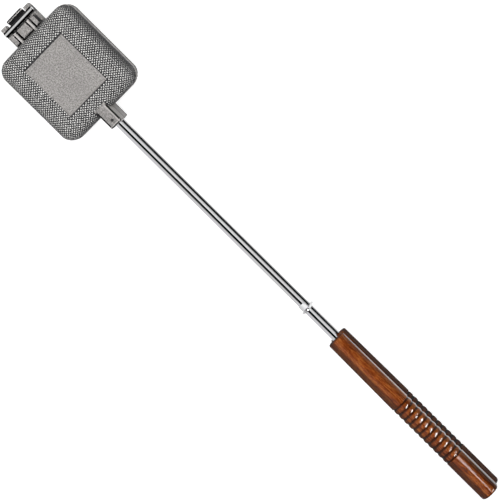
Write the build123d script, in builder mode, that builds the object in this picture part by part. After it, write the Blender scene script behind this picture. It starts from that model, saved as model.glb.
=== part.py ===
from build123d import *
from math import cos, hypot, pi, radians, sin, sqrt
import os

# A long-handled sandwich iron: two cast-iron half shells that close like a clam around the
# bread, a hook-and-pin hinge at the far end, a steel rod and a turned wooden handle on each
# half, and a wire latch that swings on the upper rod and catches under the lower one.
# +X runs from the head to the handles, +Z is up. The origin is the middle of the lower
# panel, the flat face on which the closed iron rests.

# Rods and handles
rod_radius = 3.175
handle_radius = 11.0
handle_gap = 0.4
handle_length = 232.0
exposed_rod = 320.5
rod_in_handle = 80.0
rod_in_boss = 20.0
rod_end_chamfer = 0.6

# Cast head
head_length = 113.0
head_width = 106.5
head_corner_radius = 15.5
crown_radius = 13.0
wall_draft = 4.0
rim_band_height = 2.4
rim_band_proud = 0.5
rim_band_round = 0.4
parting_gap = 0.3
panel_length = 66.0
panel_width = 56.0
panel_raise = 0.8
panel_corner_radius = 1.5
panel_edge_radius = 0.35

# Bread cavity in each half
rim_width = 5.5
cavity_depth = 16.5
cavity_draft = 14.0
cavity_corner_radius = 11.0
cavity_floor_radius = 6.0

# Rod boss on the end of each half
boss_width = 14.6
boss_height = 19.6
boss_reach = 17.4
boss_run_in = 14.0
boss_draft = 0.5
boss_edge_radius = 1.0
boss_corner_radius = 1.2

# Spring pin that keeps each rod in its boss
spring_pin_radius = 1.2
spring_pin_wall = 0.45
spring_pin_slit = 0.5
spring_pin_sink = 0.3
spring_pin_from_end = 6.8
spring_pin_past_rod = 1.4

# Hinge: a pin across two ears of the lower half, and a hook under it on the upper half
pin_radius = 3.175
pin_to_head = 18.0
pin_overhang = 0.25
pin_chamfer = 0.5
ear_inner = 14.0
ear_outer = 20.5
ear_front = 7.3
ear_top = 1.0
ear_top_radius = 1.4
ear_foot_radius = 5.0
bracket_depth = 12.5
bracket_front = 9.2
bracket_root = 3.5
bracket_edge_radius = 0.7
tooth_height = 9.5
tooth_front = 5.7
tooth_to_head = 1.2
lug_inner = 13.0
lug_outer = 17.4
block_half_width = 6.3
block_foot_top = 1.2
block_foot_bottom = 2.0
block_foot_to_pin = 0.5
tooth_edge_radius = 0.7
rib_inner = 8.6
rib_outer = 11.0
rib_height = 12.0
rib_front = 5.6
rib_front_radius = 1.8
rib_flare = 1.5
rib_flare_length = 2.6
saddle_lip_angle = 25.0
hook_outer_radius = 10.6
hook_wall = 2.0
hook_lip_angle = 199.0
hook_web_angle = 252.0
hook_lip_radius = 0.7
hook_corner_radius = 2.2

# Turned handles
handle_front_radius = 10.2
handle_front_round = 1.8
handle_butt_round = 3.6
grip_plain = 96.7
bead_count = 11
bead_pitch = 7.22
groove_depth = 0.9
groove_half_width = 1.3
handle_bore_slack = 1.0

# Wire latch on the upper rod
wire_radius = 1.3
latch_to_handle = 43.0
latch_foot_past_rod = 4.4
latch_bend_radius = 3.2
swage_length = 6.7
swage_half_width = 3.95
swage_half_height = 2.4
swage_round = 1.1
foot_tip_round = 0.7
eye_end_angle = -70.0

# Fits
seat_clearance = 0.02
running_clearance = 0.1
moving_clearance = 0.4
cut_overrun = 2.0

# Places along Z: the pad and the lower handle lie on one plane
rod_offset = handle_radius + handle_gap / 2
parting_height = rod_offset + handle_radius
body_depth = parting_height - panel_raise

# Places along X
head_end = head_length / 2
hinge_x = -head_end - pin_to_head
boss_start = head_end - boss_run_in
boss_end = head_end + boss_reach
rod_start = boss_end - rod_in_boss
handle_start = boss_end + exposed_rod
handle_end = handle_start + handle_length
rod_end = handle_start + rod_in_handle
spring_pin_x = boss_end - spring_pin_from_end
latch_x = handle_start - latch_to_handle

# Places around the hinge pin, measured from its axis
tooth_back = pin_to_head - tooth_to_head
tooth_reach = hypot(tooth_back, tooth_height)
relief_radius = tooth_reach + moving_clearance
hook_sweep_radius = hook_outer_radius + moving_clearance
saddle_radius = pin_radius + running_clearance
root_x = pin_to_head + bracket_root

halves = (("upper", 1), ("lower", -1))


def rod_height(side):
    """The height of a rod's axis: side is 1 for the upper half and -1 for the lower."""
    return parting_height + side * rod_offset


def half_plane(side):
    """The parting plane, facing away from the other half."""
    return Plane(origin=(0, 0, parting_height), x_dir=(1, 0, 0), z_dir=(0, 0, side))


def at_pin(angle, radius):
    """A point around the hinge pin in the side view: 0 degrees points to the handles."""
    return (radius * cos(radians(angle)), radius * sin(radians(angle)))


def save(piece, name):
    """Names a finished piece and writes it."""
    piece.part.label = name
    export_step(piece.part, f"parts/{name}.step")


os.makedirs("parts", exist_ok=True)

hinge_plane = Plane(origin=(hinge_x, 0, parting_height), x_dir=(1, 0, 0), z_dir=(0, -1, 0))
cast_halves = {}

rim_bands = {}
for half_name, side in halves:
    with BuildPart() as rim_band:
        with BuildSketch(half_plane(side).offset(parting_gap / 2)):
            RectangleRounded(head_length, head_width, head_corner_radius)
        extrude(amount=rim_band_height)
        fillet(rim_band.edges().filter_by(Plane.XY), rim_band_round)
    rim_bands[half_name] = rim_band.part

for half_name, side in halves:
    outward = Axis((0, 0, 0), (0, 0, side))
    rim_plane = half_plane(side).offset(parting_gap / 2)
    with BuildPart() as cast_half:
        # Pillow-shaped body with drafted walls
        with BuildSketch(rim_plane):
            RectangleRounded(
                head_length - 2 * rim_band_proud,
                head_width - 2 * rim_band_proud,
                head_corner_radius - rim_band_proud,
            )
        extrude(amount=body_depth - parting_gap / 2, taper=wall_draft)
        fillet(cast_half.edges().group_by(outward)[-1], crown_radius)
        # Smooth band along the rim
        add(rim_bands[half_name])
        # Flat raised panel
        with BuildSketch(half_plane(side).offset(body_depth)):
            RectangleRounded(panel_length, panel_width, panel_corner_radius)
        extrude(amount=panel_raise)
        fillet(cast_half.edges().group_by(outward)[-1], panel_edge_radius)
        # Rod boss, running out of the body
        with BuildSketch(rim_plane):
            with Locations(((boss_start + boss_end) / 2, 0)):
                Rectangle(boss_end - boss_start, boss_width)
        extrude(amount=boss_height - parting_gap / 2, taper=boss_draft)
        boss_tip = cast_half.faces().sort_by(Axis.X)[-1]
        fillet(boss_tip.edges().sort_by(Axis.Y)[0], boss_corner_radius)
        boss_tip = cast_half.faces().sort_by(Axis.X)[-1]
        fillet(boss_tip.edges().sort_by(Axis.Y)[-1], boss_corner_radius)
        boss_top = cast_half.faces().sort_by_distance(
            (head_end + boss_reach / 2, 0, parting_height + side * boss_height)
        )[0]
        fillet(
            boss_top.edges().filter_by_position(Axis.X, head_end, boss_end),
            boss_edge_radius,
        )
        # Bread cavity
        with BuildSketch(half_plane(side)):
            RectangleRounded(
                head_length - 2 * rim_width, head_width - 2 * rim_width, cavity_corner_radius
            )
        extrude(amount=cavity_depth, taper=cavity_draft, mode=Mode.SUBTRACT)
        cavity_floor = cast_half.faces().sort_by_distance(
            (0, 0, parting_height + side * cavity_depth)
        )[0]
        fillet(cavity_floor.edges(), cavity_floor_radius)
        # Bore for the rod and hole for its spring pin
        with BuildSketch(Plane.YZ.offset(rod_start)):
            with Locations((0, rod_height(side))):
                Circle(rod_radius + seat_clearance)
        extrude(amount=rod_in_boss + cut_overrun, mode=Mode.SUBTRACT)
        with BuildSketch(half_plane(side).offset(rod_offset - rod_radius - spring_pin_past_rod)):
            with Locations((spring_pin_x, 0)):
                Circle(spring_pin_radius + seat_clearance)
        extrude(amount=boss_height, mode=Mode.SUBTRACT)
    cast_halves[half_name] = cast_half.part

# Bracket of the hinge: two ears round the pin on a base that leaves room for the hook
with BuildPart() as bracket:
    with BuildSketch(hinge_plane.offset(-ear_outer)) as ear_side:
        with BuildLine():
            Polyline(
                (-ear_front, -bracket_depth),
                (root_x, -bracket_depth),
                (root_x, -parting_gap / 2),
                (tooth_back, -parting_gap / 2),
                (tooth_back, ear_top),
                (-ear_front, ear_top),
                close=True,
            )
        make_face()
        fillet(ear_side.vertices().sort_by_distance((-ear_front, ear_top))[0], ear_top_radius)
        fillet(ear_side.vertices().sort_by_distance((-ear_front, -bracket_depth))[0], ear_foot_radius)
    extrude(amount=2 * ear_outer)
    ear_sides = bracket.faces().filter_by(Plane.XZ)
    fillet(
        ear_sides.edges().filter_by_position(Axis.X, hinge_x - ear_front, hinge_x + bracket_front),
        bracket_edge_radius,
    )
    # Room between the ears: in front of the base, round the hook's sweep and above the base
    with BuildSketch(hinge_plane.offset(-ear_inner)):
        with Locations((bracket_front, 0)):
            Rectangle(2 * root_x, 2 * root_x, align=(Align.MAX, Align.CENTER))
        Circle(hook_sweep_radius)
        with Locations((0, -parting_gap / 2)):
            Rectangle(2 * root_x + cut_overrun, root_x, align=(Align.CENTER, Align.MIN))
    extrude(amount=2 * ear_inner, mode=Mode.SUBTRACT)

# Lower half: the cast body with the bracket, two lugs and a stop block
with BuildPart() as lower_shell:
    add(cast_halves["lower"])
    add(bracket.part)
    # Lugs on the ears and the block between the hook's ribs
    teeth = (
        (lug_inner, lug_outer),
        (-lug_outer, -lug_inner),
        (-block_half_width, block_half_width),
    )
    for tooth_low, tooth_high in teeth:
        with BuildSketch(hinge_plane.offset(-tooth_low)):
            with BuildLine():
                Polyline(
                    (tooth_front, -parting_gap / 2),
                    (tooth_back, -parting_gap / 2),
                    (tooth_back, tooth_height),
                    (tooth_front, tooth_height),
                    close=True,
                )
            make_face()
        extrude(amount=-(tooth_high - tooth_low))
    tooth_tops = lower_shell.faces().filter_by(Plane.XY).sort_by(Axis.Z)[-len(teeth):]
    fillet(tooth_tops.edges(), tooth_edge_radius)
    # Foot of the block, which fills the gap beside the pin inside the hook's sweep
    with BuildSketch(hinge_plane):
        with Locations((pin_radius + block_foot_to_pin, block_foot_top)):
            Rectangle(
                tooth_front - pin_radius + block_foot_bottom,
                block_foot_top + block_foot_bottom,
                align=(Align.MIN, Align.MAX),
            )
    extrude(amount=block_half_width, both=True)
    # Seats of the pin
    with BuildSketch(hinge_plane):
        Circle(pin_radius + seat_clearance)
    extrude(amount=ear_outer + cut_overrun, both=True, mode=Mode.SUBTRACT)
save(lower_shell, "lower_shell")

# Tongue of the hook, which curls under and round the pin
with BuildPart() as tongue:
    with BuildSketch(hinge_plane):
        with BuildLine():
            for radius in (hook_outer_radius, hook_outer_radius - hook_wall):
                ThreePointArc(
                    at_pin(hook_lip_angle, radius),
                    at_pin((hook_lip_angle + hook_web_angle) / 2, radius),
                    at_pin(hook_web_angle, radius),
                )
            for angle in (hook_lip_angle, hook_web_angle):
                Line(at_pin(angle, hook_outer_radius - hook_wall), at_pin(angle, hook_outer_radius))
        make_face()
    extrude(amount=rib_outer, both=True)
    lip_corners = tongue.edges().filter_by(GeomType.LINE).filter_by(Axis.Y, reverse=True)
    fillet(lip_corners.sort_by(Axis.Z)[-2:], hook_corner_radius)
    lip_middle = hinge_plane.from_local_coords(at_pin(hook_lip_angle, hook_outer_radius - hook_wall / 2))
    fillet(tongue.faces().sort_by_distance(lip_middle)[0].edges(), hook_lip_radius)

# Upper half: the cast body with two ribs that carry a hook under the pin
with BuildPart() as upper_shell:
    add(cast_halves["upper"])
    # Relief in the end wall for the lugs and the block as the half turns
    with BuildSketch(hinge_plane):
        Circle(relief_radius)
    extrude(amount=ear_outer + moving_clearance, both=True, mode=Mode.SUBTRACT)
    # Ribs, each with a saddle that bears against the pin
    rib_foot = sqrt(hook_outer_radius**2 - (parting_gap / 2) ** 2)
    saddle_lip = at_pin(saddle_lip_angle, saddle_radius)
    for rib_low in (rib_inner, -rib_outer):
        with BuildSketch(hinge_plane.offset(-rib_low)):
            with BuildLine():
                Line(at_pin(hook_web_angle, saddle_radius), at_pin(hook_web_angle, hook_outer_radius))
                ThreePointArc(
                    at_pin(hook_web_angle, hook_outer_radius),
                    at_pin((hook_web_angle + 360) / 2, hook_outer_radius),
                    (rib_foot, parting_gap / 2),
                )
                Polyline(
                    (rib_foot, parting_gap / 2),
                    (root_x, parting_gap / 2),
                    (root_x, rib_height),
                    (rib_front + rib_front_radius, rib_height),
                )
                ThreePointArc(
                    (rib_front + rib_front_radius, rib_height),
                    (
                        rib_front + rib_front_radius * (1 - cos(pi / 4)),
                        rib_height - rib_front_radius * (1 - sin(pi / 4)),
                    ),
                    (rib_front, rib_height - rib_front_radius),
                )
                Polyline(
                    (rib_front, rib_height - rib_front_radius),
                    (rib_front, saddle_lip[1]),
                    saddle_lip,
                )
                ThreePointArc(
                    saddle_lip,
                    at_pin((saddle_lip_angle + hook_web_angle - 360) / 2, saddle_radius),
                    at_pin(hook_web_angle, saddle_radius),
                )
            make_face()
        extrude(amount=-(rib_outer - rib_inner))
    # Flares where the ribs meet the body
    with BuildSketch(Plane.XY.offset(parting_height + parting_gap / 2)):
        for rib_side in (1, -1):
            with BuildLine():
                flare_points = [
                    (hinge_x + root_x - rib_flare_length, rib_inner),
                    (hinge_x + root_x, rib_inner - rib_flare),
                    (hinge_x + root_x, rib_outer + rib_flare),
                    (hinge_x + root_x - rib_flare_length, rib_outer),
                ]
                Polyline([(x, rib_side * y) for x, y in flare_points], close=True)
            make_face()
    extrude(amount=rib_height - parting_gap / 2)
    add(tongue.part)
save(upper_shell, "upper_shell")

with BuildPart() as hinge_pin:
    with BuildSketch(hinge_plane):
        Circle(pin_radius)
    extrude(amount=ear_outer + pin_overhang, both=True)
    chamfer(hinge_pin.edges().filter_by(GeomType.CIRCLE), pin_chamfer)
save(hinge_pin, "hinge_pin")

# Swelling pressed into the upper rod, which keeps the latch from sliding to the head
swage_end = latch_x - wire_radius - moving_clearance
with BuildPart() as swage:
    with BuildSketch(Plane.YZ.offset(swage_end - swage_length)):
        with Locations((0, rod_height(1))):
            Ellipse(swage_half_width, swage_half_height)
    extrude(amount=swage_length)
    fillet(swage.faces().filter_by(Plane.YZ).edges(), swage_round)

for half_name, side in halves:
    with BuildPart() as rod:
        with BuildSketch(Plane.YZ.offset(rod_start)):
            with Locations((0, rod_height(side))):
                Circle(rod_radius)
        extrude(amount=rod_end - rod_start)
        chamfer(rod.edges().filter_by(GeomType.CIRCLE), rod_end_chamfer)
        if half_name == "upper":
            add(swage.part)
        with BuildSketch(half_plane(side)):
            with Locations((spring_pin_x, 0)):
                Circle(spring_pin_radius + seat_clearance)
        extrude(amount=2 * rod_offset, mode=Mode.SUBTRACT)
    save(rod, f"{half_name}_rod")

    pin_floor = rod_offset - rod_radius - spring_pin_past_rod
    with BuildPart() as spring_pin:
        with BuildSketch(half_plane(side).offset(pin_floor)):
            with Locations((spring_pin_x, 0)):
                Circle(spring_pin_radius)
                Circle(spring_pin_radius - spring_pin_wall, mode=Mode.SUBTRACT)
                Rectangle(
                    spring_pin_radius + cut_overrun,
                    spring_pin_slit,
                    align=(Align.MIN, Align.CENTER),
                    mode=Mode.SUBTRACT,
                )
        extrude(amount=boss_height - spring_pin_sink - pin_floor)
    save(spring_pin, f"{half_name}_spring_pin")

    axis_height = rod_height(side)
    front_height = axis_height + handle_front_radius
    grip_height = axis_height + handle_radius
    groove_height = grip_height - groove_depth
    beads_start = handle_start + grip_plain
    beads_end = beads_start + bead_count * bead_pitch
    with BuildPart() as handle:
        with BuildSketch(Plane.XZ):
            with BuildLine():
                Line((handle_start, axis_height), (handle_start, front_height - handle_front_round))
                RadiusArc(
                    (handle_start, front_height - handle_front_round),
                    (handle_start + handle_front_round, front_height),
                    handle_front_round,
                )
                Polyline(
                    (handle_start + handle_front_round, front_height),
                    (beads_start - groove_half_width, grip_height),
                    (beads_start, groove_height),
                )
                for bead in range(bead_count):
                    bead_x = beads_start + bead * bead_pitch
                    ThreePointArc(
                        (bead_x, groove_height),
                        (bead_x + bead_pitch / 2, grip_height),
                        (bead_x + bead_pitch, groove_height),
                    )
                Polyline(
                    (beads_end, groove_height),
                    (beads_end + groove_half_width, grip_height),
                    (handle_end - handle_butt_round, grip_height),
                )
                RadiusArc(
                    (handle_end - handle_butt_round, grip_height),
                    (handle_end, grip_height - handle_butt_round),
                    handle_butt_round,
                )
                Polyline(
                    (handle_end, grip_height - handle_butt_round),
                    (handle_end, axis_height),
                    (handle_start, axis_height),
                )
            make_face()
        revolve(axis=Axis((0, 0, axis_height), (1, 0, 0)))
        with BuildSketch(Plane.YZ.offset(handle_start - cut_overrun)):
            with Locations((0, axis_height)):
                Circle(rod_radius + seat_clearance)
        extrude(amount=cut_overrun + rod_in_handle + handle_bore_slack, mode=Mode.SUBTRACT)
    save(handle, f"{half_name}_handle")

# Wire latch: an eye round the upper rod, an arm beside both rods and a foot under the lower
eye_radius = rod_radius + running_clearance + wire_radius
foot_drop = 2 * rod_offset + rod_radius + moving_clearance + wire_radius
latch_plane = Plane(origin=(latch_x, 0, rod_height(1)), x_dir=(0, 1, 0), z_dir=(1, 0, 0))
with BuildPart() as latch_hook:
    with BuildLine(latch_plane) as wire_path:
        CenterArc((0, 0), eye_radius, 0, 360 + eye_end_angle)
        FilletPolyline(
            (eye_radius, 0),
            (eye_radius, -foot_drop),
            (-latch_foot_past_rod, -foot_drop),
            radius=latch_bend_radius,
        )
    with BuildSketch(Plane(origin=wire_path.wires()[0] @ 0, z_dir=wire_path.wires()[0] % 0)):
        Circle(wire_radius)
    sweep()
    foot_tip = latch_hook.faces().filter_by(GeomType.PLANE).sort_by(Axis.Z)[0]
    fillet(foot_tip.edges(), foot_tip_round)
save(latch_hook, "latch_hook")
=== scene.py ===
import math
from itertools import product

import bmesh
import bpy
import numpy as np
from bpy.props import EnumProperty, FloatProperty, FloatVectorProperty, PointerProperty
from mathutils import Matrix, Vector
from mathutils.bvhtree import BVHTree


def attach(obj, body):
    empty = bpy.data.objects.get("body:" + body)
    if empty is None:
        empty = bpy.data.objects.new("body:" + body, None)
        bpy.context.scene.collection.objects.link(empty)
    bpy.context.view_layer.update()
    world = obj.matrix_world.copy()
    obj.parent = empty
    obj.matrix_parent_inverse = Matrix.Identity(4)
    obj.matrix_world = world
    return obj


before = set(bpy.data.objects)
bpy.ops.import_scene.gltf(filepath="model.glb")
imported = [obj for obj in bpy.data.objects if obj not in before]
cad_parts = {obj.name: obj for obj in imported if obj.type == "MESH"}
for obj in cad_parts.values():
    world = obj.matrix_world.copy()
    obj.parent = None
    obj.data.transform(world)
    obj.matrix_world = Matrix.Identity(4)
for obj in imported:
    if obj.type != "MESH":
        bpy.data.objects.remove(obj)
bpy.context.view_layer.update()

bl_info = {
    "name": "Sandwich iron",
    "version": (1, 0, 0),
    "blender": (4, 5, 0),
    "location": "View3D > Sidebar > Sandwich iron",
    "description": "Dresses a sandwich iron: stippled castings, chromed rods, turned handles",
    "category": "Add Mesh",
}

MM = 0.001

# Colours that no setting changes
BLACK = (0.0, 0.0, 0.0)
WHITE = (1.0, 1.0, 1.0)
# Painted dark reflection for the flanks of the hinge pin
DARK_REFLECTION = (0.012, 0.012, 0.013)
# Colour that darkens the V grooves of the handles
GROOVE_DARK = (0.02, 0.005, 0.002)
CHROME = (0.55, 0.55, 0.56)
PRESSED_CHROME = (0.62, 0.62, 0.63)
PIN_STEEL = (0.62, 0.62, 0.62)
SPRING_STEEL = (0.06, 0.06, 0.062)
FLOOR_GREY = (0.4, 0.4, 0.4)

# Places that the castings, rods and handles share, in metres
PARTING_HEIGHT = 22.2 * MM
ROD_OFFSET = 11.2 * MM
HEAD_END = 56.5 * MM
SWELLING = (343.0 * MM, 349.7 * MM)

# Outer surface of one shell above the parting plane
WALL_HALF = Vector((56.0 * MM, 52.75 * MM))
WALL_CORNER = 15.0 * MM
BODY_DEPTH = 21.4 * MM
CROWN_RADIUS = 13.0 * MM
WALL_DRAFT = math.radians(4.0)
RIM_BAND_TOP = 2.55 * MM
FLAT_RISE = 20.75 * MM
PANEL_HALF = Vector((33.0 * MM, 28.0 * MM))
EDGE_LINE_HALF = 0.5 * MM

# The boss of each shell, that takes the rod
BOSS_ROOT = 47.5 * MM
BOSS_HALF = 7.3 * MM
BOSS_RISE = 19.6 * MM
BOSS_TIP = 73.9 * MM
SPRING_PIN_X = 67.1 * MM

# The hinge: where its bare skin ends, and its ribs, lugs and tongue, out from the middle plane, and
# where its painted highlights, painted shade and the pin's painted dark reflections lie
HINGE_X = -74.5 * MM
HINGE_EDGE = -57.3 * MM
RELIEF_EDGE = -54.3 * MM
RELIEF_HALF = 20.5 * MM
RUBBED_LIT_RIBS = ((5.7 * MM, 6.4 * MM), (8.5 * MM, 11.1 * MM), (12.9 * MM, 13.6 * MM))
LUG_RISE = 8.6 * MM
LOWER_GAP_END = 13.45 * MM
UPPER_GAP_END = 17.5 * MM
EAR_SHADOW = (17.2 * MM, 19.0 * MM)
EAR_SHADOW_REACH = (-67.5 * MM, -56.5 * MM)
ROOT_SHADE_STRIP = (-58.6 * MM, -56.0 * MM)
TONGUE_HALF = 11.6 * MM
TONGUE_EDGE = -77.3 * MM
TONGUE_LIP = (-82.7 * MM, -81.8 * MM)
PIN_FLANK = 1.3 * MM

# The handles
HANDLE_START = 394.4 * MM
HANDLE_END = 626.4 * MM
BEADS = (490.0 * MM, 572.0 * MM)
GROOVE_RADIUS = (10.4 * MM, 10.95 * MM)

# How the dots are made, with the triangles that close a ring of their corners, and laid out
DOT_SIDES = 8
DOT_SINK = 0.12 * MM
DOT_RINGS = ((0.66, 0.78), (1.0, 0.45))
DOT_CAP = ((7, 0, 1), (1, 2, 3), (3, 4, 5), (5, 6, 7), (1, 3, 5), (1, 5, 7))
DOT_SEEDS = {"upper": 11, "lower": 12}
LATTICE_REACH = 80 * MM
CROWDING = 0.74
SCATTER = 0.03
TALLEST_DOT = 1.02
DOT_CELL = 2 * MM
PROBE = 3 * MM
PROBE_SLACK = 0.3 * MM
PLAIN_MARGIN = 0.9 * MM
PLAIN_RIM = 1.0 * MM
PLAIN_ROOT = 47.4 * MM

# The photograph's camera: its turn about X, Y and Z, and its place and focal length
CAMERA_TURN = (12.77, 2.87, 0.28)
CAMERA_SHIFT = Vector((-264.8, -1.95, 0.0)) * MM
CAMERA_DISTANCE = 2478.0 * MM
CAMERA_REACH = 50.0
SENSOR_WIDTH = 36.0
FOCAL_PIXELS = 2368.0
PICTURE_PIXELS = 500

# Each lamp's place, its size and the point of the iron's axis that it aims at, if it is turned
LAMPS = {
    "key_softbox": ((0.02, -0.4, 1.72), (1.15, 1.2)),
    "fill_softbox": ((-0.5, 1.3, 1.7), (1.6, 0.6), (0.2, 0.0, 0.0)),
    "strip_lamp": ((0.9, 1.3, 1.5), (0.14, 1.3), (0.6, 0.0, 0.0)),
    "end_lamp": ((2.0, 1.5, 1.5), (0.35, 2.3), (0.55, 0.0, 0.0)),
}

# The floor, and the patch of it under the hinge that carries a painted shadow, seen through the
# hinge
FLOOR_HALF = 6.0
FLOOR_DROP = 0.2 * MM
SHADOW_PATCH = ((-77.0 * MM, -48.0 * MM), (-21.0 * MM, 14.0 * MM))


class StippleSettings(bpy.types.PropertyGroup):
    """Sizes of the raised dots cast into both shells."""

    spacing: FloatProperty(
        name="Spacing", description="Distance between the dots of one row",
        default=3.066 * MM, unit="LENGTH",
    )
    row: FloatProperty(
        name="Row", description="Distance between neighbouring rows",
        default=1.939 * MM, unit="LENGTH",
    )
    radius: FloatProperty(
        name="Radius", description="Radius of a dot at its foot",
        default=1.13 * MM, unit="LENGTH",
    )
    height: FloatProperty(
        name="Height", description="Height of a dot above the shell",
        default=0.5 * MM, unit="LENGTH",
    )


class IronSettings(bpy.types.PropertyGroup):
    """Colours of the bare castings."""

    bare: FloatVectorProperty(
        name="Bare iron", description="Colour of the panel, the bosses and the hinge",
        default=(0.325, 0.311, 0.301), subtype="COLOR", size=3,
    )
    hollow: FloatVectorProperty(
        name="Hollows", description="Colour between the raised dots",
        default=(0.042, 0.0425, 0.044), subtype="COLOR", size=3,
    )
    # The pale tips stand for rubbed wear and also for painted highlights
    tip: FloatVectorProperty(
        name="Tips", description="Colour of the rubbed tips of the dots",
        default=(0.74, 0.73, 0.715), subtype="COLOR", size=3,
    )


class WoodSettings(bpy.types.PropertyGroup):
    """Colours of the turned handles."""

    dark: FloatVectorProperty(
        name="Dark grain", description="Colour of the darkest grain",
        default=(0.05, 0.012, 0.004), subtype="COLOR", size=3,
    )
    mid: FloatVectorProperty(
        name="Wood", description="Main colour of the stained wood",
        default=(0.225, 0.045, 0.008), subtype="COLOR", size=3,
    )
    light: FloatVectorProperty(
        name="Light grain", description="Colour of the lightest figure",
        default=(0.46, 0.14, 0.03), subtype="COLOR", size=3,
    )


class StageSettings(bpy.types.PropertyGroup):
    """Strength of the studio light."""

    key: FloatProperty(
        name="Key", description="Radiance of the large softbox overhead",
        default=4.5, min=0.0,
    )
    fill: FloatProperty(
        name="Fill", description="Radiance of the softbox on the far side",
        default=9.0, min=0.0,
    )
    strip: FloatProperty(
        name="Strip", description="Radiance of the strip lamp that glints on the butts",
        default=20.0, min=0.0,
    )
    glint: FloatProperty(
        name="Glint", description="Radiance of the lamp that glints on the beads",
        default=120.0, min=0.0,
    )
    ambient: FloatProperty(
        name="Ambient", description="Brightness with which the room lights the iron",
        default=0.12, min=0.0,
    )
    shown: FloatProperty(
        name="Shown", description="Brightness of the pale side of the room in gloss",
        default=1.2, min=0.0,
    )
    overhead: FloatProperty(
        name="Dark side", description="Brightness of the dark side in gloss",
        default=0.02, min=0.0,
    )


class Value:
    """A shader socket that takes part in arithmetic, so that a mask reads as an expression."""

    def __init__(self, nodes, socket):
        self.nodes = nodes
        self.socket = socket

    def __add__(self, other):
        return self.nodes.maths("ADD", self, other)

    def __sub__(self, other):
        return self.nodes.maths("SUBTRACT", self, other)

    def __rsub__(self, other):
        return self.nodes.maths("SUBTRACT", other, self)

    def __mul__(self, other):
        return self.nodes.maths("MULTIPLY", self, other)

    def __pow__(self, other):
        return self.nodes.maths("POWER", self, other)

    def __abs__(self):
        return self.nodes.maths("ABSOLUTE", self)


class Nodes:
    """A node tree while it is built."""

    def __init__(self, tree):
        self.tree = tree

    def node(self, kind, settings=None, sockets=None, output=0):
        """Adds a node: its settings first, then the values or links of its sockets."""
        node = self.tree.nodes.new(kind)
        for name, value in (settings or {}).items():
            if name == "stops":
                self.set_stops(node.color_ramp, value)
            else:
                setattr(node, name, value)
        for name, value in (sockets or {}).items():
            self.feed(node.inputs[name], value)
        return Value(self, node.outputs[output])

    def set_stops(self, ramp, stops):
        """Gives a colour ramp its stops."""
        while len(ramp.elements) < len(stops):
            ramp.elements.new(1.0)
        for element, (position, colour) in zip(ramp.elements, stops):
            element.position = position
            element.color = (*colour, 1.0)

    def feed(self, socket, value):
        """Links a socket to another node's value, or sets it."""
        if isinstance(value, Value):
            self.tree.links.new(value.socket, socket)
        elif socket.type == "RGBA" and len(value) == 3:
            socket.default_value = (*value, 1.0)
        else:
            socket.default_value = value

    def maths(self, operation, *values):
        """One step of arithmetic."""
        return self.node("ShaderNodeMath", {"operation": operation}, dict(enumerate(values)))

    def split(self, vector):
        """The three parts of a vector."""
        node = self.node("ShaderNodeSeparateXYZ", None, {0: vector}).socket.node
        return [Value(self, socket) for socket in node.outputs]

    def step(self, value, low, high, start=0.0, end=1.0):
        """Rises smoothly from start to end as value goes from low to high."""
        return self.node(
            "ShaderNodeMapRange",
            {"interpolation_type": "SMOOTHSTEP"},
            {"Value": value, "From Min": low, "From Max": high, "To Min": start, "To Max": end},
        )

    def above(self, value, edge, soft):
        """One where value is over the edge, with a soft edge."""
        return self.step(value, edge - soft, edge + soft)

    def below(self, value, edge, soft):
        """One where value is under the edge, with a soft edge."""
        return self.step(value, edge - soft, edge + soft, 1.0, 0.0)

    def inside(self, value, low, high, soft):
        """One where value lies between low and high, with soft edges."""
        return self.above(value, low, soft) * self.below(value, high, soft)

    def most(self, *values):
        """The largest of the values."""
        result = values[0]
        for value in values[1:]:
            result = self.maths("MAXIMUM", result, value)
        return result

    def mix(self, factor, first, second):
        """The first colour where factor is nought, the second where it is one."""
        sockets = {0: factor, 6: first, 7: second}
        return self.node("ShaderNodeMix", {"data_type": "RGBA"}, sockets, 2)

    def over(self, base, *layers):
        """Lays colours over a base, one after another, each through its mask."""
        for mask, colour in layers:
            base = self.mix(mask, base, colour)
        return base

    def rays(self):
        """The rays that show a background: the camera's, and those that gloss or glass turn."""
        outputs = self.node("ShaderNodeLightPath").socket.node.outputs
        kinds = ("Camera", "Glossy", "Transmission")
        return [Value(self, outputs[f"Is {kind} Ray"]) for kind in kinds]

    def ramp(self, value, stops):
        """A colour from a row of stops."""
        return self.node("ShaderNodeValToRGB", {"stops": stops}, {0: value})


class Finish(Nodes):
    """One procedural material while it is built."""

    def __init__(self, name, **constants):
        self.material = bpy.data.materials.new(name)
        self.material.use_nodes = True
        super().__init__(self.material.node_tree)
        self.surface = self.tree.nodes["Principled BSDF"]
        for socket, value in constants.items():
            self.socket(socket).default_value = value
        self.place = self.node("ShaderNodeTexCoord", output="Object")
        self.x, self.y, self.z = self.split(self.place)

    def socket(self, name):
        """The surface's socket, from its name in small letters."""
        return self.surface.inputs[name.replace("_", " ").title().replace("Ior", "IOR")]

    def stretched(self, scale):
        """The object's coordinates, scaled along each axis."""
        return self.node("ShaderNodeMapping", None, {"Vector": self.place, "Scale": scale})

    def noise(self, scale, detail, roughness, distortion=0.0):
        """Noise over the object's coordinates: scale is one number, or three to stretch it."""
        even = isinstance(scale, float)
        return self.node(
            "ShaderNodeTexNoise",
            None,
            {
                "Vector": self.place if even else self.stretched(scale),
                "Scale": scale if even else 1.0,
                "Detail": detail,
                "Roughness": roughness,
                "Distortion": distortion,
            },
        )

    def paint(self, **values):
        """Feeds sockets of the surface that change from place to place."""
        for socket, value in values.items():
            self.feed(self.socket(socket), value)

    def bump(self, height, distance, strength):
        """Roughens the surface by a height."""
        sockets = {"Height": height, "Distance": distance, "Strength": strength}
        normal = self.node("ShaderNodeBump", None, sockets)
        self.feed(self.socket("normal"), normal)


def shade(colour, factor):
    """A colour made darker or lighter."""
    return tuple(factor * part for part in colour)


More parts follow.
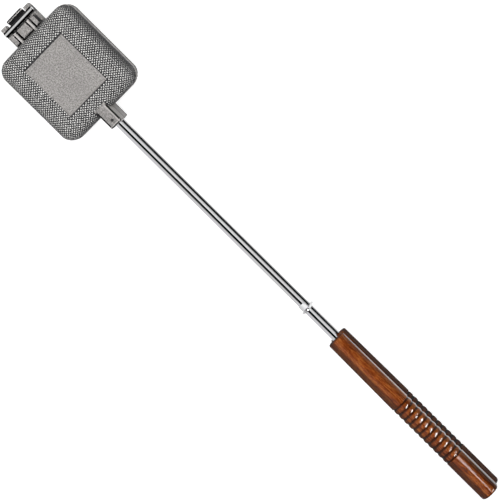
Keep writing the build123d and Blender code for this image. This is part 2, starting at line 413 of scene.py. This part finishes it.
def cast_skin(iron, settings, rise, across, hinge, grain):
    """The casting before wear: bare skin, dark hollows with painted shade low on the walls, the rim
    with painted light on its far side, and a line round the panel in painted shade on its far and
    left sides and painted light on the other two.
    """
    off_panel = iron.most(abs(iron.x) - PANEL_HALF.x, across - PANEL_HALF.y)
    flat = iron.above(rise, FLAT_RISE, 0.15 * MM)
    panel = iron.below(off_panel, 0.0, 0.1 * MM) * flat
    ragged = (iron.noise(500.0, 2.0, 0.5) - 0.5) * 4.0 * MM
    boss = iron.above(iron.x + ragged, BOSS_ROOT, 1.1 * MM)
    boss = boss * iron.below(across, BOSS_HALF + 0.3 * MM, 0.2 * MM)
    boss = iron.most(boss, iron.above(iron.x, HEAD_END + 0.6 * MM, 0.2 * MM))
    relief = iron.below(iron.x, RELIEF_EDGE, 0.3 * MM) * iron.below(across, RELIEF_HALF, 0.3 * MM)
    bare = iron.most(panel, boss, hinge, relief)
    cloud = iron.step(iron.noise(60.0, 3.0, 0.55), 0.35, 0.75, 0.0, 0.3)
    speckle = iron.step(grain, 0.38, 0.62)
    skin = iron.mix(speckle, shade(settings.bare, 0.6), shade(settings.bare, 1.45))
    skin = iron.mix(cloud, skin, shade(settings.bare, 0.75))
    # Painted shade: the hollows go darker low on the walls, towards the parting plane
    wall = iron.step(rise, 8.0 * MM, 17.0 * MM, 0.65, 0.0)
    rim = iron.below(rise, RIM_BAND_TOP + 0.1 * MM, 0.25 * MM) * (1.0 - boss) * (1.0 - hinge)
    # Painted light: the rim is paler on the far side and a little darker elsewhere
    far = iron.step(iron.y, 30.0 * MM, 45.0 * MM)
    parting = iron.below(rise, 0.35 * MM, 0.15 * MM) * (1.0 - hinge)
    # A line round the panel: painted shade on its far and left sides, painted light on the other
    # two
    edge_line = iron.inside(off_panel, -EDGE_LINE_HALF, EDGE_LINE_HALF, 0.2 * MM) * flat
    inner = PANEL_HALF - Vector((0.7 * MM, 0.7 * MM))
    shaded = iron.most(
        iron.above(iron.y, inner.y, 0.3 * MM),
        iron.below(iron.x, -inner.x, 0.3 * MM),
    )
    return iron.over(
        iron.mix(bare, iron.mix(wall, settings.hollow, BLACK), skin),
        (rim, iron.mix(far, shade(settings.bare, 0.95), shade(settings.bare, 1.4))),
        (parting * 0.7, settings.hollow),
        (edge_line * shaded * 0.95, settings.hollow),
        (edge_line * (1.0 - shaded) * 0.6, settings.bare),
    )


def light_shade_and_wear_hinge(iron, settings, base, rise, across, hinge):
    """Rubs the hinge's rib and lug tops bright, partly wear and partly painted highlight, and
    paints shade in its tongue, in the gaps between its lugs, beside its ears, round its pin and at
    its root, with a painted highlight on the tongue's lip.
    """
    ribs = iron.most(*(iron.inside(across, low, high, 0.2 * MM) for low, high in RUBBED_LIT_RIBS))
    # Wear and painted highlight: the tops of the ribs and lugs are rubbed bright and lit
    rubbed_and_lit = ribs * hinge * iron.above(rise, LUG_RISE + 0.25 * MM, 0.25 * MM)
    # Painted shade: the tongue is dark inside
    tongue = iron.below(across, TONGUE_HALF, 0.2 * MM) * iron.below(iron.x, TONGUE_EDGE, 0.3 * MM)
    upper = iron.above(iron.z, PARTING_HEIGHT + 1.3 * MM, 0.2 * MM)
    gap_end = upper * (UPPER_GAP_END - LOWER_GAP_END) + LOWER_GAP_END
    # Painted shade in the gaps between the lugs and the ribs
    deep = hinge * iron.step(across - gap_end, 0.0, 0.15 * MM, 1.0, 0.0)
    deep = deep * iron.below(rise, LUG_RISE, 0.3 * MM)
    # Painted shadow beside each ear, between the ear and its lug
    beside_ear = iron.inside(across, *EAR_SHADOW, 0.3 * MM)
    beside_ear = beside_ear * iron.inside(iron.x, *EAR_SHADOW_REACH, 1.2 * MM)
    beside_ear = beside_ear * iron.step(rise, 1.6 * MM, 2.0 * MM, 0.95, 0.0)
    # Painted shade round the pin, on both sides of it
    round_pin = iron.below(abs(iron.x - HINGE_X - 0.5 * MM), 3.8 * MM, 0.2 * MM)
    round_pin = round_pin * iron.above(across, TONGUE_HALF + 0.7 * MM, 0.3 * MM)
    # Painted shade along the hinge's root where it meets the head
    painted_root_shade = hinge * iron.inside(iron.x, *ROOT_SHADE_STRIP, 0.8 * MM) * (1.0 - rubbed_and_lit)
    # Painted highlight on the end of the tongue's lip
    lip = tongue * iron.inside(iron.x, *TONGUE_LIP, 0.1 * MM)
    return iron.over(
        base,
        (rubbed_and_lit * 0.85, shade(settings.bare, 1.75)),
        (tongue, shade(settings.hollow, 0.5)),
        (deep * 0.95, shade(settings.hollow, 0.4)),
        (beside_ear, settings.hollow),
        (round_pin * 0.9, shade(settings.hollow, 0.4)),
        (painted_root_shade * 0.6, settings.hollow),
        (lip, shade(settings.bare, 2.7)),
    )


def mark_boss_light_and_shade(iron, settings, base, rise, across):
    """Paints shade along the edges of the boss, light on its flanks and highlights near its far
    edges, and rings the spring pin.
    """
    on_boss = iron.step(iron.x, 49.0 * MM, 52.0 * MM)
    on_boss = on_boss * iron.below(across, BOSS_HALF + 0.35 * MM, 0.15 * MM)
    on_top = iron.above(rise, BOSS_RISE - 1.0 * MM, 0.1 * MM) * on_boss
    from_rim = iron.most(across - BOSS_HALF, iron.x - BOSS_TIP)
    # Painted light: the flanks of the boss are paler
    flank = iron.above(from_rim, -0.85 * MM, 0.1 * MM) * on_boss * (1.0 - on_top)
    # Painted shade along the edges of the boss's top and along its -Y side
    near_edge = iron.below(iron.y, 2.0 * MM - BOSS_HALF, 0.1 * MM)
    painted_edge_shade = iron.most(iron.above(from_rim, -1.4 * MM, 0.1 * MM), near_edge) * on_boss
    painted_edge_shade = painted_edge_shade * iron.above(rise, BOSS_RISE - 3.5 * MM, 0.7 * MM)
    # Painted highlight along the boss top's +Y edge and near its tip
    bright = iron.most(
        iron.inside(iron.y, BOSS_HALF - 2.6 * MM, BOSS_HALF - 1.5 * MM, 0.2 * MM),
        iron.inside(iron.x, BOSS_TIP - 2.3 * MM, BOSS_TIP - 1.5 * MM, 0.2 * MM),
    )
    from_pin = iron.x - SPRING_PIN_X
    from_pin = (from_pin * from_pin + iron.y * iron.y) ** 0.5
    ring = iron.below(from_pin, 1.55 * MM, 0.25 * MM) * on_top
    split = iron.step(rise, 0.5 * MM, 1.4 * MM, 0.8, 0.0) * on_boss
    return iron.over(
        base,
        (on_top * 0.12, settings.hollow),
        (flank * 0.7, shade(settings.bare, 1.6)),
        (painted_edge_shade, shade(settings.hollow, 0.2)),
        (bright * on_top * 0.85, shade(settings.bare, 1.7)),
        (ring, shade(settings.hollow, 0.3)),
        (split, settings.hollow),
    )


def cast_iron(settings):
    """Bare grey casting: pale on the panel, bosses, rim and hinge, dark under the raised dots, with
    painted light and shade on its walls, edges, boss and hinge.
    """
    iron = Finish("bare_cast_iron", specular_ior_level=0.12)
    rise = abs(iron.z - PARTING_HEIGHT)
    across = abs(iron.y)
    hinge = iron.below(iron.x, HINGE_EDGE, 0.3 * MM)
    grain = iron.noise(700.0, 4.0, 0.75)
    fine = iron.noise(2600.0, 2.0, 0.5)
    base = cast_skin(iron, settings, rise, across, hinge, grain)
    base = light_shade_and_wear_hinge(iron, settings, base, rise, across, hinge)
    base = mark_boss_light_and_shade(iron, settings, base, rise, across)
    iron.paint(base_color=base, roughness=iron.step(grain, 0.3, 0.8, 0.48, 0.7))
    iron.bump(grain * 0.7 + fine * 0.3, 0.2 * MM, 0.9)
    return iron


def stipple_iron(settings):
    """The raised dots: dark feet and paler tips, rubbed and also painted as highlights, with
    painted shade low on the walls and on the far side.
    """
    iron = Finish("stippled_cast_iron", specular_ior_level=0.12)
    rise = iron.node("ShaderNodeAttribute", {"attribute_name": "rise"}, output="Fac")
    grain = iron.noise(1500.0, 3.0, 0.6)
    worn = iron.noise(45.0, 3.0, 0.55)
    # Wear and painted shade: the tips fade from rubbed and lit on top to dim low on the walls
    rubbed_and_lit = iron.step(abs(iron.z - PARTING_HEIGHT), 8.0 * MM, 20.0 * MM, 0.2, 1.0)
    # Painted shade: the tips are dimmer on the far side
    far = iron.step(iron.y, 43.0 * MM, 50.0 * MM, 1.0, 0.55)
    # Tips: rubbed wear and painted highlight
    tip = iron.step(rise + (grain - 0.5) * 0.12 + (worn - 0.5) * 0.1, 0.5, 0.95) * rubbed_and_lit * far
    iron.paint(
        base_color=iron.mix(tip, settings.hollow, settings.tip),
        roughness=iron.step(grain, 0.3, 0.8, 0.4, 0.58),
    )
    iron.bump(grain, 0.06 * MM, 0.7)
    return iron


def bright_chrome():
    """Chrome plate with drawing lines and dull patches, matt where the swelling was pressed."""
    chrome = Finish("chrome_plate")
    lines = chrome.noise((60.0, 2600.0, 2600.0), 3.0, 0.55)
    patches = chrome.noise(30.0, 4.0, 0.6)
    pressed = chrome.inside(chrome.x, *SWELLING, 0.3 * MM)
    pressed = pressed * chrome.above(chrome.z, PARTING_HEIGHT, 0.5 * MM)
    plate = chrome.step(patches * 0.6 + lines * 0.4, 0.4, 0.75, 0.03, 0.12)
    chrome.paint(
        roughness=plate + pressed * 0.3,
        metallic=1.0 - pressed * 0.6,
        base_color=chrome.mix(pressed, CHROME, PRESSED_CHROME),
    )
    chrome.bump(lines, 0.01 * MM, 0.5)
    return chrome


def drawn_steel(name, colour, dull, dark_flanks=False):
    """Plain drawn steel, scratched along Y; a pin with dark flanks gets painted dark reflections
    there and is bright on its top and bottom only.
    """
    steel = Finish(name, metallic=1.0)
    lines = steel.noise((2200.0, 150.0, 2200.0), 4.0, 0.6)
    spots = steel.noise(700.0, 3.0, 0.6)
    base = steel.mix(steel.step(spots, 0.5, 0.75, 0.0, 0.5), colour, shade(colour, 0.5))
    if dark_flanks:
        # Painted dark reflection: the pin's flanks are nearly black, only its top and bottom stay
        # bright
        flank = steel.above(abs(steel.x - HINGE_X + 0.35 * MM), PIN_FLANK, 0.2 * MM)
        base = steel.mix(flank, base, DARK_REFLECTION)
    steel.paint(base_color=base, roughness=steel.step(lines, 0.3, 0.7, dull, dull + 0.1))
    steel.bump(lines, 0.012 * MM, 0.5)
    return steel


def varnished_wood(settings):
    """Stained hardwood that was turned on a lathe, under gloss varnish, with painted shade along
    its sides.
    """
    wood = Finish(
        "varnished_hardwood",
        coat_roughness=0.06,
        coat_ior=2.4,
        specular_ior_level=0.0,
        roughness=0.6,
    )
    depth = abs(abs(wood.z - PARTING_HEIGHT) - ROD_OFFSET)
    from_axis = (depth * depth + wood.y * wood.y) ** 0.5
    wander = wood.noise((9.0, 40.0, 40.0), 2.0, 0.5)
    bands = wood.noise((40.0, 330.0, 300.0), 5.0, 0.65, 1.0)
    figure = wood.noise((200.0, 620.0, 620.0), 4.0, 0.7, 0.5)
    pores = wood.noise((260.0, 2400.0, 2400.0), 3.0, 0.6)
    tone = bands * 0.5 + wander * 0.3 + figure * 0.35
    colour = wood.ramp(
        tone,
        [(0.40, settings.dark), (0.54, settings.mid), (0.68, settings.light), (0.84, settings.mid)],
    )
    pore = wood.step(pores, 0.56, 0.68, 0.0, 0.6)
    colour = wood.mix(pore, colour, settings.dark)
    beaded = wood.inside(wood.x, *BEADS, 1.0 * MM)
    # Darker in the V grooves between the beads
    groove = wood.step(from_axis, *GROOVE_RADIUS, 1.0, 0.0) * beaded
    ends = wood.most(
        wood.step(wood.x, HANDLE_START + 0.1 * MM, HANDLE_START + 1.6 * MM, 1.0, 0.0),
        wood.step(wood.x, HANDLE_END - 1.8 * MM, HANDLE_END - 0.2 * MM),
    )
    colour = wood.over(colour, (groove * 0.85, GROOVE_DARK), (ends * 0.7, settings.dark))
    # Painted shadow of the upper handle on the lower handle's +Y side, and painted shade on the
    # butt's +Y side
    lower = wood.below(wood.z, PARTING_HEIGHT, 1.0 * MM) * 0.78
    butt = wood.step(wood.x, 540.0 * MM, 600.0 * MM, 0.38, 0.76)
    # Painted shade: the handles darken towards -Y, less on the beads, and towards +Y on the lower
    # handle and the butt
    side = wood.most(
        wood.step(wood.y, -3.6 * MM, -1.2 * MM, 0.62, 0.0) * (1.0 - beaded * 0.85),
        wood.step(wood.y, -6.6 * MM, -4.6 * MM, 0.62, 0.0),
        wood.step(wood.y, 5.0 * MM, 8.8 * MM) * wood.most(lower, butt),
    )
    colour = wood.mix(side, colour, BLACK)
    facing = wood.node("ShaderNodeLayerWeight", None, {"Blend": 0.5}, "Facing")
    rim = wood.step(facing, 0.35, 0.6) * wood.above(wood.y, 10.0 * MM, 0.4 * MM)
    rim = rim * wood.step(wood.z, PARTING_HEIGHT, PARTING_HEIGHT + 2.0 * MM)
    gloss = wood.step(pores + (figure - 0.5) * 0.5, 0.4, 0.6, 0.12, 0.06)
    wood.paint(base_color=colour, coat_weight=wood.most(rim, gloss))
    wood.bump(pores * 0.5 + bands * 0.5, 0.04 * MM, 0.3)
    return wood


def dress(finish, *nodes):
    """Gives CAD nodes a finish."""
    for name in nodes:
        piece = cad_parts[name]
        piece.data.materials.clear()
        piece.data.materials.append(finish.material)


def shell_point(u, v):
    """A point of the shell's ideal outside and its normal, above the parting plane, for a
    point of the flat lattice: the lattice folds over the crown and down the wall."""
    turn = math.pi / 2 - WALL_DRAFT
    flat = WALL_CORNER - BODY_DEPTH * math.tan(WALL_DRAFT) - CROWN_RADIUS * math.tan(turn / 2)
    core_x, core_y = WALL_HALF.x - WALL_CORNER, WALL_HALF.y - WALL_CORNER
    core = Vector((max(-core_x, min(core_x, u)), max(-core_y, min(core_y, v))))
    out = Vector((u, v)) - core
    reach = out.length
    out = out.normalized() if reach else Vector((0, 0))
    bent = max(0.0, reach - flat)
    angle = min(bent / CROWN_RADIUS, turn)
    down_wall = max(0.0, bent - CROWN_RADIUS * turn)
    sideways = min(reach, flat) + CROWN_RADIUS * math.sin(angle) + down_wall * math.sin(WALL_DRAFT)
    drop = CROWN_RADIUS * (1 - math.cos(angle)) + down_wall * math.cos(WALL_DRAFT)
    place = core + out * sideways
    normal = Vector((out.x * math.sin(angle), out.y * math.sin(angle), math.cos(angle)))
    return Vector((place.x, place.y, BODY_DEPTH - drop)), normal


def is_plain(point):
    """True where the casting has no dots: the panel, the boss, the rim and the hinge."""
    along, across = abs(point.x) - PLAIN_MARGIN, abs(point.y) - PLAIN_MARGIN
    on_panel = along < PANEL_HALF.x and across < PANEL_HALF.y
    on_boss = point.x > PLAIN_ROOT and across < BOSS_HALF
    return on_panel or on_boss or point.z < RIM_BAND_TOP + PLAIN_RIM


def dot_mesh(settings):
    """One raised dot, as a bmesh: a low closed dome whose foot sinks into the casting."""
    dome = bmesh.new()
    turns = [math.tau * side / DOT_SIDES for side in range(DOT_SIDES)]
    levels = [(settings.height * rise, settings.radius * width) for rise, width in DOT_RINGS]
    rings = [
        [dome.verts.new((reach * math.cos(turn), reach * math.sin(turn), level)) for turn in turns]
        for level, reach in ((-DOT_SINK, settings.radius), *levels)
    ]
    for lower, upper in zip(rings, rings[1:]):
        for side in range(DOT_SIDES):
            dome.faces.new((lower[side - 1], lower[side], upper[side - 1]))
            dome.faces.new((lower[side], upper[side], upper[side - 1]))
    for corners in DOT_CAP:
        dome.faces.new([rings[0][corner] for corner in reversed(corners)])
        dome.faces.new([rings[-1][corner] for corner in corners])
    return dome


def dot_places(half, settings):
    """Where the dots of one shell stand: a list of matrices."""
    side = 1 if half == "upper" else -1
    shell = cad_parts[f"{half}_shell"].data
    points = [vertex.co for vertex in shell.vertices]
    surface = BVHTree.FromPolygons(points, [face.vertices for face in shell.polygons])
    rng = np.random.default_rng(DOT_SEEDS[half])
    rows, columns = (int(LATTICE_REACH / gap) for gap in (settings.row, settings.spacing))
    crowded = CROWDING * math.hypot(settings.spacing / 2, settings.row)
    taken = {}
    places = []
    for row in range(-rows, rows + 1):
        for column in range(-columns, columns + 1):
            shift = rng.normal(0.0, SCATTER * MM, 2)
            turn, swell = rng.uniform(0, math.tau), rng.normal(1.0, SCATTER)
            along = (column + row % 2 / 2) * settings.spacing + shift[0]
            ideal, normal = shell_point(along, row * settings.row + shift[1])
            if is_plain(ideal):
                continue
            cell = tuple(math.floor(part / DOT_CELL) for part in ideal)
            near = (
                other
                for step in product((-1, 0, 1), repeat=3)
                for other in taken.get(tuple(map(sum, zip(cell, step))), ())
            )
            if any((other - ideal).length < crowded for other in near):
                continue
            ideal_world = Vector((ideal.x, ideal.y, PARTING_HEIGHT + side * ideal.z))
            outward = Vector((normal.x, normal.y, side * normal.z))
            hit, _, _, gap = surface.ray_cast(ideal_world + outward * PROBE, -outward, 2 * PROBE)
            if hit is None or abs(gap - PROBE) > PROBE_SLACK:
                continue
            taken.setdefault(cell, []).append(ideal)
            upright = outward.to_track_quat("Z", "Y").to_matrix().to_4x4()
            size = Matrix.Diagonal((swell, swell, min(swell, TALLEST_DOT), 1.0))
            places.append(Matrix.Translation(hit) @ upright @ Matrix.Rotation(turn, 4, "Z") @ size)
    return places


def repeat(pattern, places, name):
    """One mesh with a copy of the pattern at each place."""
    pattern.verts.index_update()
    points = np.array([v.co for v in pattern.verts])
    faces = np.array([[v.index for v in f.verts] for f in pattern.faces])
    matrices = np.array(places)
    moved = np.einsum("nij,pj->npi", matrices[:, :3, :3], points) + matrices[:, None, :3, 3]
    mesh = bpy.data.meshes.new(name)
    shifts = (np.arange(len(places)) * len(points))[:, None, None]
    mesh.from_pydata(moved.reshape(-1, 3), [], (faces[None] + shifts).reshape(-1, 3))
    mesh.polygons.foreach_set("use_smooth", np.ones(len(mesh.polygons), bool))
    rise = mesh.attributes.new("rise", "FLOAT", "POINT")
    heights = np.clip(points[:, 2] / points[:, 2].max(), 0.0, 1.0)
    rise.data.foreach_set("value", np.tile(heights, len(places)).astype(np.float32))
    mesh.update()
    piece = bpy.data.objects.new(name, mesh)
    bpy.context.scene.collection.objects.link(piece)
    return piece


class IRON_OT_dress_castings(bpy.types.Operator):
    """Give both shells their bare cast-iron skin"""

    bl_idname = "iron.dress_castings"
    bl_label = "Castings"

    def execute(self, context):
        dress(cast_iron(context.scene.iron_castings), "lower_shell", "upper_shell")
        return {"FINISHED"}


class IRON_OT_add_stipple(bpy.types.Operator):
    """Raise the cast dots on the outside of one shell"""

    bl_idname = "iron.add_stipple"
    bl_label = "Stipple"

    half: EnumProperty(
        name="Half",
        description="The shell that gets the dots",
        items=[("upper", "Upper", "The upper shell"), ("lower", "Lower", "The lower shell")],
    )

    def execute(self, context):
        settings = context.scene.iron_stipple
        dome = dot_mesh(settings)
        piece = repeat(dome, dot_places(self.half, settings), f"{self.half}_stipple")
        dome.free()
        material = bpy.data.materials.get("stippled_cast_iron")
        if material is None:
            material = stipple_iron(context.scene.iron_castings).material
        piece.data.materials.append(material)
        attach(piece, f"{self.half}_half")
        return {"FINISHED"}


class IRON_OT_dress_rods(bpy.types.Operator):
    """Plate both rods and the wire latch with chrome"""

    bl_idname = "iron.dress_rods"
    bl_label = "Rods and latch"

    def execute(self, context):
        dress(bright_chrome(), "lower_rod", "upper_rod", "latch_hook")
        return {"FINISHED"}


class IRON_OT_dress_pins(bpy.types.Operator):
    """Give the hinge pin and the spring pins their steel"""

    bl_idname = "iron.dress_pins"
    bl_label = "Pins"

    def execute(self, context):
        dress(drawn_steel("drawn_pin_steel", PIN_STEEL, 0.12, dark_flanks=True), "hinge_pin")
        dress(
            drawn_steel("dark_spring_steel", SPRING_STEEL, 0.35),
            "lower_spring_pin",
            "upper_spring_pin",
        )
        return {"FINISHED"}


class IRON_OT_dress_handles(bpy.types.Operator):
    """Stain and varnish both turned handles"""

    bl_idname = "iron.dress_handles"
    bl_label = "Handles"

    def execute(self, context):
        dress(varnished_wood(context.scene.iron_wood), "lower_handle", "upper_handle")
        return {"FINISHED"}


class IRON_OT_build_stage(bpy.types.Operator):
    """Lay the pale floor, and place the lamps and the camera"""

    bl_idname = "iron.build_stage"
    bl_label = "Stage"

    def execute(self, context):
        settings = context.scene.iron_stage
        lay_floor()
        for name, group in (("key_softbox", "key"), ("fill_softbox", "fill")):
            hang_lamp(name, getattr(settings, group), *LAMPS[name], gloss=False)
        for name, group in (("strip_lamp", "strip"), ("end_lamp", "glint")):
            hang_lamp(name, getattr(settings, group), *LAMPS[name], diffuse=False)
        paint_room(settings.ambient, settings.shown, settings.overhead)
        add_camera()
        context.scene.view_settings.view_transform = "Standard"
        return {"FINISHED"}


def lay_floor():
    """A wide pale floor just under the iron, seen as white, that keeps the shadow, with a painted
    shadow under the hinge.
    """
    plane = bmesh.new()
    bmesh.ops.create_grid(plane, x_segments=1, y_segments=1, size=FLOOR_HALF)
    bmesh.ops.translate(plane, verts=plane.verts, vec=(0.0, 0.0, -FLOOR_DROP))
    mesh = bpy.data.meshes.new("floor")
    plane.to_mesh(mesh)
    plane.free()
    floor = bpy.data.objects.new("floor", mesh)
    bpy.context.scene.collection.objects.link(floor)
    paper = Finish(
        "white_paper",
        roughness=0.9,
        specular_ior_level=0.0,
        base_color=(*FLOOR_GREY, 1.0),
        emission_strength=0.85,
    )
    seen = paper.most(*paper.rays())
    reach_x, reach_y = SHADOW_PATCH
    # Painted shadow on the floor under the hinge, seen through its gaps
    dark = paper.inside(paper.x, *reach_x, 4.0 * MM) * paper.inside(paper.y, *reach_y, 4.0 * MM)
    paper.paint(emission_color=paper.mix(seen * (1.0 - dark * 0.97), BLACK, WHITE))
    mesh.materials.append(paper.material)


def hang_lamp(name, radiance, place, size, aim=None, diffuse=True, gloss=True):
    """Hangs a rectangular softbox: it faces down, or towards aim with its height along Y."""
    lamp = bpy.data.lights.new(name, "AREA")
    lamp.shape = "RECTANGLE"
    lamp.size, lamp.size_y = size
    lamp.energy = radiance * math.pi * size[0] * size[1]
    holder = bpy.data.objects.new(name, lamp)
    holder.location = place
    if aim is not None:
        back = (Vector(place) - Vector(aim)).normalized()
        side = Vector((0, 1, 0)).cross(back).normalized()
        holder.rotation_euler = Matrix((side, back.cross(side), back)).transposed().to_euler()
    holder.visible_diffuse = diffuse
    holder.visible_glossy = gloss
    bpy.context.scene.collection.objects.link(holder)


def paint_room(ambient, shown, overhead):
    """A dim room with a white background: gloss shows it pale on the near side and dark beyond."""
    world = bpy.data.worlds.new("studio")
    bpy.context.scene.world = world
    world.use_nodes = True
    room = Nodes(world.node_tree)
    x, y, z = room.split(room.node("ShaderNodeTexCoord", output="Generated"))
    pale = room.step(y - z * 0.12, -0.03, 0.03, shown, overhead)
    pale = pale * room.step(abs(x), 0.55, 0.75, 1.0, 0.05)
    camera, glossy, transmission = room.rays()
    turned = room.most(glossy, transmission)
    level = camera + turned * pale + (1.0 - camera - turned) * ambient
    background = world.node_tree.nodes["Background"]
    room.feed(background.inputs["Color"], room.mix(level, BLACK, WHITE))


def add_camera():
    """The photograph's view: from above, a little from the far side, turned by 45 degrees."""
    tilt, lean, roll = (
        Matrix.Rotation(math.radians(angle), 3, axis) for angle, axis in zip(CAMERA_TURN, "XYZ")
    )
    turn = roll @ lean @ tilt
    eye = turn.transposed() @ (Vector((0.0, 0.0, CAMERA_DISTANCE)) - CAMERA_SHIFT)
    eye.z += PARTING_HEIGHT
    along, across, back = (Vector(row) for row in turn)
    right = (along + across).normalized()
    up = (across - along).normalized()
    camera = bpy.data.cameras.new("camera")
    camera.sensor_width = SENSOR_WIDTH
    camera.lens = FOCAL_PIXELS / PICTURE_PIXELS * SENSOR_WIDTH
    camera.clip_end = CAMERA_REACH
    holder = bpy.data.objects.new("camera", camera)
    frame_axes = Matrix((right, up, back)).transposed().to_4x4()
    holder.matrix_world = Matrix.Translation(eye) @ frame_axes
    bpy.context.scene.collection.objects.link(holder)
    bpy.context.scene.camera = holder


class IRON_PT_panel(bpy.types.Panel):
    """Shows the settings of the sandwich iron and the buttons of its operators"""

    bl_idname = "IRON_PT_panel"
    bl_label = "Sandwich iron"
    bl_space_type = "VIEW_3D"
    bl_region_type = "UI"
    bl_category = "Sandwich iron"

    def draw(self, context):
        for group in GROUPS:
            box = self.layout.box()
            settings = getattr(context.scene, group)
            for name in settings.bl_rna.properties.keys():
                if name not in ("rna_type", "name"):
                    box.prop(settings, name)
        for operator in OPERATORS:
            self.layout.operator(operator.bl_idname)


GROUPS = {
    "iron_stipple": StippleSettings,
    "iron_castings": IronSettings,
    "iron_wood": WoodSettings,
    "iron_stage": StageSettings,
}
OPERATORS = (
    IRON_OT_dress_castings,
    IRON_OT_add_stipple,
    IRON_OT_dress_rods,
    IRON_OT_dress_pins,
    IRON_OT_dress_handles,
    IRON_OT_build_stage,
)


def register():
    """Adds the settings, the operators and the panel."""
    for name, group in GROUPS.items():
        bpy.utils.register_class(group)
        setattr(bpy.types.Scene, name, PointerProperty(type=group))
    for cls in (*OPERATORS, IRON_PT_panel):
        bpy.utils.register_class(cls)


def unregister():
    """Takes the panel, the operators and the settings out again."""
    for cls in (IRON_PT_panel, *reversed(OPERATORS)):
        bpy.utils.unregister_class(cls)
    for name, group in reversed(GROUPS.items()):
        delattr(bpy.types.Scene, name)
        bpy.utils.unregister_class(group)


def main():
    """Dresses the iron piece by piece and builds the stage."""
    register()
    bpy.ops.iron.dress_castings()
    bpy.ops.iron.add_stipple(half="upper")
    bpy.ops.iron.add_stipple(half="lower")
    bpy.ops.iron.dress_rods()
    bpy.ops.iron.dress_pins()
    bpy.ops.iron.dress_handles()
    bpy.ops.iron.build_stage()


if __name__ == "__main__":
    main()
